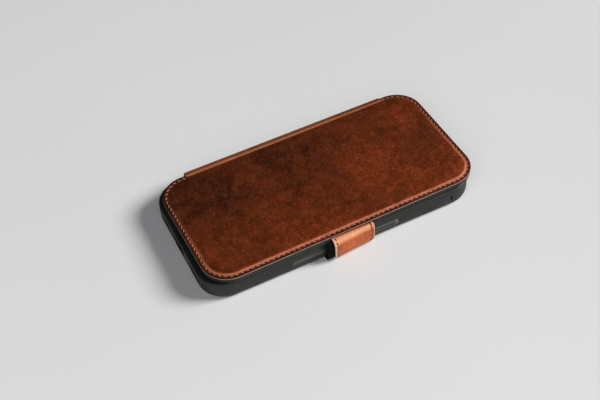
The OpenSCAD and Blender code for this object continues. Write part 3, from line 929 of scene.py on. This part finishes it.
WALL_SECTION = [
    ((0.0, 3.2), 1.2), ((0.0, 10.6), 0.7), ((0.55, 11.2), 0.5), ((3.1, 11.2), 0.28), ((3.1, 10.6), 0.2),
    ((1.9, 10.6), 0.1), ((1.9, 1.0), 0.1), ((4.2, 1.0), 0.05), ((4.2, 0.3), 0.15), ((2.6, 0.3), 0.6),
    ((1.3, 0.7), 0.9), ((0.45, 1.6), 1.2),
]


def side_cut(side, y, z, outline, x0, x1):
    """A cutter through a long wall, its outline drawn along Y and Z."""
    turn = shift(0, y, z) @ FACE_X
    low, high = sorted((side * x0, side * x1))
    return prism("side_cut", outline, low, high, turn)


def end_cut(x, z, outline):
    turn = shift(x, -SHELL_L / 2 - 4.2, z) @ spin(-pi / 2, "X")
    return prism("end_cut", outline, 0, 8.4, turn)


def is_recess_floor(centre, normal):
    return normal.x > 0.99 and -0.1 < SHELL_W / 2 - centre.x - RECESS_DEPTH < 0.05


def build_bumper():
    """The soft frame: one section swept round, then its holes cut."""
    outline = rounded(SHELL_W, SHELL_L, SHELL_R, (30, 14, 22))
    section = filleted([p for p, _ in WALL_SECTION], [r for _, r in WALL_SECTION])
    rings = [
        [(cx + (SHELL_R - d) * nx, cy + (SHELL_R - d) * ny, z) for d, z in section]
        for cx, cy, nx, ny in outline
    ]
    obj = loft("bumper_shell", rings, filled=[], closed=True)
    inner, outer, gap = SHELL_W / 2 - 2.5, SHELL_W / 2 + 1, 0.4
    recess = SHELL_W / 2 - RECESS_DEPTH

    def upright(name, x, y0, y1):
        return block(name, (x, y0, BUTTON_Z - 1.6), (outer, y1, BUTTON_Z + 1.6))

    cutters = [
        side_cut(1, POWER_Y, BUTTON_Z, pill(POWER_LENGTH + gap, BUTTON_H + gap), inner, outer),
        side_cut(-1, VOLUME_UP_Y, BUTTON_Z, pill(VOLUME_LENGTH + gap, BUTTON_H + gap), inner, outer),
        side_cut(-1, VOLUME_DOWN_Y, BUTTON_Z, pill(VOLUME_LENGTH + gap, BUTTON_H + gap), inner, outer),
        side_cut(-1, 51.0, BUTTON_Z, pill(9.5, 5), inner, outer),
        side_cut(1, WINDOW_Y, BUTTON_Z, pill(WINDOW_LENGTH, 3.2), recess, outer),
        upright("slot", inner, 59.6, 60.6),
        upright("mark", recess, -60.5, -59.7),
        end_cut(0, BUTTON_Z + 0.3, pill(13, 6)),
        end_cut(19, BUTTON_Z + 0.3, pill(14, 2.6)),
        end_cut(-17.5, BUTTON_Z + 0.3, pill(10, 2.6)),
        block("strap_way", (33, STRAP_Y0 - STRAP_ROOM - LINING_REACH, -1), (39, STRAP_Y1 + 0.5, 2)),
        block("spine_way", (-39, SPINE_Y0 - 0.6, -1), (-33, SPINE_Y1 + 0.6, 1.2)),
    ]
    carve(obj, *cutters)
    soften(obj, 0.14, 2, 50)
    dress(obj, [BUMPER_RUBBER, WINDOW_HIGHLIGHT], ["bumper"], "bumper_rubber", 30)
    # The side window's and the mark's recess floors get the painted highlight.
    edge_faces(obj, 1, is_recess_floor)
    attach(obj, "tray")


def side_pill(name, side, y, length, height, x0, x1, round_edge):
    """A pill-shaped button that stands out of a long wall."""
    turn = shift(0, y, BUTTON_Z) @ FACE_X
    low, high = sorted((side * x0, side * x1))
    obj = prism(name, pill(length, height, 16), low, high, turn)
    return soften(obj, round_edge, 3, 60)


def build_buttons():
    back = SHELL_W / 2 - 1.5
    face = SHELL_W / 2
    power = side_pill("power_button_cap", 1, POWER_Y, POWER_LENGTH, BUTTON_H, back, face + 0.3, 0.28)
    ribs = []
    for i in range(12):
        y = POWER_Y + (i - 5.5) * 1.1
        ribs.append(side_pill("rib", 1, y, 0.5, 2.2, face, face + 0.45, 0.1))
    bm = bmesh.new()
    for part in [power, *ribs]:
        bm.from_mesh(part.data)
    bm.to_mesh(power.data)
    bm.free()
    for rib in ribs:
        bpy.data.objects.remove(rib)
    up = side_pill("volume_up_cap", -1, VOLUME_UP_Y, VOLUME_LENGTH, BUTTON_H, back, face + 0.25, 0.25)
    down = side_pill("volume_down_cap", -1, VOLUME_DOWN_Y, VOLUME_LENGTH, BUTTON_H, back, face + 0.25, 0.25)
    for obj, body in ((power, "power_button"), (up, "volume_up_button"), (down, "volume_down_button")):
        dress(obj, [BUTTON_HIGHLIGHT_RUBBER], [body], "button_rubber", 30)
        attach(obj, body)


def camera_loop(extra):
    """The camera opening's outline, larger by extra all round."""
    size = CAMERA_SIZE + 2 * extra
    return rounded_loop(size, size, CAMERA_R + extra, 16, (CAMERA_X, CAMERA_Y))


def back_outline():
    """Back panel with the strip that runs on to the spine and the notch for the strap."""
    hx, hy, out, notch = BACK_W / 2, BACK_L / 2, 38.3, 23.7

    def corner(x, y, a0):
        return arc(x, y, BACK_R, a0, a0 + 90, 12)

    points = [(hx, STRAP_Y1 + 0.5)]
    points += corner(hx - BACK_R, hy - BACK_R, 0) + corner(BACK_R - hx, hy - BACK_R, 90)
    points += [(-hx, SPINE_Y1 - 1.6), (-out, SPINE_Y1 - 1.6), (-out, SPINE_Y0), (-hx, SPINE_Y0)]
    points += corner(BACK_R - hx, BACK_R - hy, 180) + corner(hx - BACK_R, BACK_R - hy, 270)
    points += [(hx, STRAP_Y0 - 0.5), (notch, STRAP_Y0 - 0.5), (notch, STRAP_Y1 + 0.5)]
    return points


def ring_block(name, w, l, r, inset0, inset1, z0, z1, centre=(0, 0)):
    """A closed band that follows a rounded rectangle, between two insets."""
    outline = rounded(w, l, r, (30, 14, 14))
    rings = [
        [(x + centre[0], y + centre[1], z) for x, y in loop_at(outline, r, inset)]
        for inset, z in ((inset0, z0), (inset1, z0), (inset1, z1), (inset0, z1))
    ]
    return loft(name, rings, filled=[], closed=True)


def build_back_panel():
    obj = prism("back_panel_leather", back_outline(), 0.0, 0.97)
    window = prism("window", camera_loop(1.6), -1, 2)
    carve(obj, window, ring_block("channel", BACK_W, BACK_L, BACK_R, 1.8, 2.6, -1, 0.24))
    soften(obj, 0.14, 2, 50)
    dress(obj, [COVER_LEATHER, PALE_EDGE], ["back_leather"], "cognac_leather")
    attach(obj, "tray")
    hx, hy, r = BACK_W / 2 - BACK_INSET, BACK_L / 2 - BACK_INSET, BACK_R - BACK_INSET
    camera_edge, z = CAMERA_SIZE / 2 + 3, 0.26
    spots = seam_row(Vector((hx, r - hy, z)), Vector((hx, STRAP_Y0 - 2, z)), 0)
    spots += seam_row(Vector((hx, STRAP_Y1 + 2, z)), Vector((hx, CAMERA_Y - camera_edge, z)), 0)
    spots += seam_row(Vector((r - hx, hy, z)), Vector((CAMERA_X - camera_edge, hy, z)), pi / 2)
    spots += seam_row(Vector((r - hx, -hy, z)), Vector((hx - r, -hy, z)), pi / 2)
    n = round(r * pi / 2 / STITCH_PITCH)
    for cx, cy, start in ((r - hx, hy - r, pi / 2), (r - hx, r - hy, pi), (hx - r, r - hy, 1.5 * pi)):
        for i in range(n):
            angle = start + (i + 0.5) * pi / 2 / n
            place = shift(cx + r * cos(angle), cy + r * sin(angle), z)
            spots.append(place @ spin(angle) @ FACE_DOWN)
    thread = threads("back_panel_thread", spots, 2.0, 0.4, 0.22)
    dress(thread, [COPPER_THREAD], ["back_stitching"], "copper_thread", 60)
    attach(thread, "tray")


def build_tray_inside():
    inset = 2.05
    outer = rounded_loop(SHELL_W - 2 * inset, SHELL_L - 2 * inset, SHELL_R - inset, 18)
    lining = plate("tray_microfibre", outer, [camera_loop(0.3)], 2.42, 2.8, 0.1)
    dress(lining, [MICROFIBRE], ["tray_lining"], "microfibre")
    ring, centre = CAMERA_SIZE + 3, (CAMERA_X, CAMERA_Y)
    bezel = ring_block("camera_ring", ring, ring, CAMERA_R + 1.5, 0, 1.5, 0.05, 2.4, centre)
    soften(bezel, 0.22, 3, 50)
    dress(bezel, [BEZEL_METAL], ["camera_bezel"], "bezel_metal", 30)
    for obj in (lining, bezel):
        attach(obj, "tray")


# ---------- strap ----------

STRAP_OUT = STRAP_HIGH.x
STRAP_PATH = Path(
    [(24.0, 0.05), (30.0, 0.05), (36.5, 0.05)]
    + arc(37.6, 4.35, 4.3, 270, 360)
    + [(STRAP_OUT, 5.8), (STRAP_OUT, 7.4), (STRAP_OUT, 9.0)]
    + arc(37.9, 9.6, 4.0, 0, 82)
    + [(38.15, 13.54), (37.8, 13.40), (37.4, 13.20), (37.0, 13.02), (36.6, 12.91), (36.0, 12.85)]
    + [(30.0, 12.85), (24.4, 12.85)]
)


def ease(t):
    """A smooth step from 0 to 1."""
    t = min(max(t, 0.0), 1.0)
    return t * t * (3 - 2 * t)


def strap_settle(point, y):
    """The strap lies closer to the phone at the power button than at its other edge."""
    across = min(max((y - STRAP_Y0) / (STRAP_Y1 - STRAP_Y0), 0.0), 1.0)
    x, z = point
    tucked = 0.52 * across * max(0.0, x - 37.8)
    lifted = 0.5 * across * min(max(x - 36.5, 0.0) / 2, 1.0) * max(0.0, 1 - z / 5)
    return Vector((x - tucked, z + lifted))


def strap_seam(name, s0, s1, nodes):
    """Stitches along both side edges of one part of the strap."""
    n = max(2, round((s1 - s0) / 2.3))
    spots = []
    for far in (False, True):
        for i in range(n):
            s = s0 + (i + 0.5) * (s1 - s0) / n
            y = strap_far_edge(s) - 1.7 if far else STRAP_Y0 + 1.6
            point, along, inward = STRAP_PATH.frame(s)
            forward, out = Vector((along[0], 0, along[1])), Vector((-inward[0], 0, -inward[1]))
            basis = Matrix((forward.cross(out), forward, out)).transposed().to_4x4()
            x, z = strap_settle(point, y)
            spots.append(shift(x, y, z) @ basis)
    obj = threads(name, spots, 2.0, 0.78, 0.2, 10)
    dress(obj, [BROWN_THREAD], nodes, "brown_thread", 60)
    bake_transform(obj)


def strap_far_edge(s):
    """The edge beside the power button runs in a little where it turns under."""
    x, z = STRAP_PATH.spot(s)
    return STRAP_Y1 - 1.2 * ease(1.15 - z / 4) * ease((x - 34.5) / 3.5)


def lining_edge(s):
    """The lining stands out past the leather, except under the cover."""
    x, z = STRAP_PATH.spot(s)
    shown = min(max(x - 37.5, 0.0) / 0.4, 1.0) if z > 8 else 1.0
    return STRAP_Y0 + 0.12 - (LINING_REACH + 0.4) * shown


def lining_far_edge(s):
    return strap_far_edge(s) - 0.12


def build_strap():
    """Leather and lining run from under the tray, round the side and under the cover."""
    seam = STRAP_PATH.nearest(STRAP_OUT, 8.2)
    end = STRAP_PATH.length
    layers = [
        ("leather", 0.0, STRAP_LEATHER_T, [STRAP_LEATHER, TAN_EDGE], "tan_leather"),
        ("lining", STRAP_LEATHER_T + 0.02, STRAP_T, [STRAP_LINING_SHADED], "black_lining"),
    ]
    for kind, d0, d1, finish, slot in layers:
        start, a, b = 0, steady(STRAP_Y0), strap_far_edge
        if kind == "lining":
            start, a, b = STRAP_PATH.nearest(36.5, 0.05), lining_edge, lining_far_edge
        form = {"step": 0.4, "edge": 0.36, "settle": strap_settle}
        sides = (a, b, steady((d0, d1)))
        low = strip(f"strap_lower_{kind}", STRAP_PATH, start, seam, *sides, **form)
        high = strip(f"strap_upper_{kind}", STRAP_PATH, seam, end, *sides, **form)
        if kind == "leather":
            mid = (STRAP_Y0 + STRAP_Y1) / 2
            carve(high, block("magnet_space", (26.3, mid - 7.6, 11.9), (34.5, mid + 7.6, 12.45)))
        for obj, spots in ((low, ("root", "loop")), (high, ("loop", "tip"))):
            set_mark(obj, "highlight_and_wear", strap_shoulder_highlight)
            dress(obj, finish, [f"strap_{spot}_{kind}" for spot in spots], slot, 50)
            edge_faces(obj, len(finish) - 1, lambda c, n: abs(n.y) > 0.3 or c.y < STRAP_Y0 + 0.8)
        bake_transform(low)
        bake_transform(high)
    first = STRAP_PATH.nearest(38.2, 0.1)
    low_nodes = ["strap_root_stitching", "strap_loop_stitching"]
    high_nodes = ["strap_loop_stitching", "strap_tip_stitching"]
    strap_seam("strap_lower_thread", first, seam - 0.6, low_nodes)
    strap_seam("strap_upper_thread", seam + 0.6, end - 1.6, high_nodes)


def strap_shoulder_highlight(p):
    """Painted highlight on the loop's upper shoulder."""
    return max(0.0, 1 - abs(p.z - 12.8) / 2.0) * 0.7 if p.x > 37.5 else 0.0


# ---------- CAD pieces that stay ----------


def finish_kept_nodes():
    kept = {
        "back_plate": INNER_PLASTIC, "magnet_ring": MAGNET_METAL, "magnet_ring_shield": STEEL,
        "alignment_magnet": MAGNET_METAL, "spine_stiffener": BOARD, "cover_foam": FOAM,
        "cover_board": BOARD, "cover_catch_plate": STEEL, "strap_magnet": MAGNET_METAL,
    }
    for name, material in kept.items():
        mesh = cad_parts[name].data
        mesh.materials.clear()
        mesh.materials.append(material)


# ---------- studio ----------

CAMERA_AT = (0.3431, -0.1563, 0.4275)
CAMERA_AZIMUTH, CAMERA_ELEVATION, CAMERA_ROLL = 66.632, 48.538, -4.129


def build_studio():
    faces, n, reach = [], 24, 4000
    steps = [(i / n - 0.5) * 2 * reach for i in range(n + 1)]
    verts = [(x, y, 0) for y in steps for x in steps]
    for j in range(n):
        for i in range(n):
            a = j * (n + 1) + i
            faces.append([a, a + 1, a + n + 2, a + n + 1])
    floor_piece = add_mesh("studio_floor", verts, faces)
    floor_piece.data.materials.append(FLOOR)

    a, e, roll = radians(CAMERA_AZIMUTH), radians(CAMERA_ELEVATION), radians(CAMERA_ROLL)
    back = Vector((sin(a) * cos(e), -cos(a) * cos(e), sin(e)))
    right = Vector((cos(a), sin(a), 0))
    up = back.cross(right)
    across = cos(roll) * right + sin(roll) * up
    over = cos(roll) * up - sin(roll) * right
    camera = add_object("studio_camera", bpy.data.cameras.new("studio_camera"))
    facing = Matrix((across, over, back)).transposed().to_4x4()
    camera.matrix_world = shift(*CAMERA_AT) @ facing
    camera.data.lens, camera.data.sensor_width = 65.369, 36
    camera.data.clip_start, camera.data.clip_end = 0.01, 20
    bpy.context.scene.camera = camera

    forward = Vector((-back.x, -back.y, 0)).normalized()
    key = 5.58 * right + 0.28 * forward + Vector((0, 0, 3.90))
    near = -0.20 * right - 0.76 * forward + Vector((0, 0, 0.70))
    soft_light("key_light", key, 2.84, 610.0, (1.0, 0.99, 0.975))
    soft_light("near_light", near, 1.15, 4.9, (0.97, 0.985, 1.0))
    world = bpy.data.worlds.new("studio_world")
    world.use_nodes = True
    world.node_tree.nodes["Background"].inputs["Color"].default_value = (0.94, 0.97, 1.0, 1)
    world.node_tree.nodes["Background"].inputs["Strength"].default_value = 0.035
    bpy.context.scene.world = world
    bpy.context.scene.view_settings.view_transform = "Standard"


def soft_light(name, place, size, power, colour):
    light = bpy.data.lights.new(name, "AREA")
    light.shape, light.size, light.energy, light.color = "DISK", size, power, colour
    obj = add_object(name, light)
    obj.matrix_world = shift(*place) @ place.to_track_quat("Z", "Y").to_matrix().to_4x4()


build_bumper()
build_buttons()
build_back_panel()
build_tray_inside()
build_spine_leather()
build_spine_lining()
build_cover_leather()
build_cover_lining()
build_cover_stitching()
build_card_pockets()
build_strap()
finish_kept_nodes()
build_studio()

bpy.context.view_layer.update()
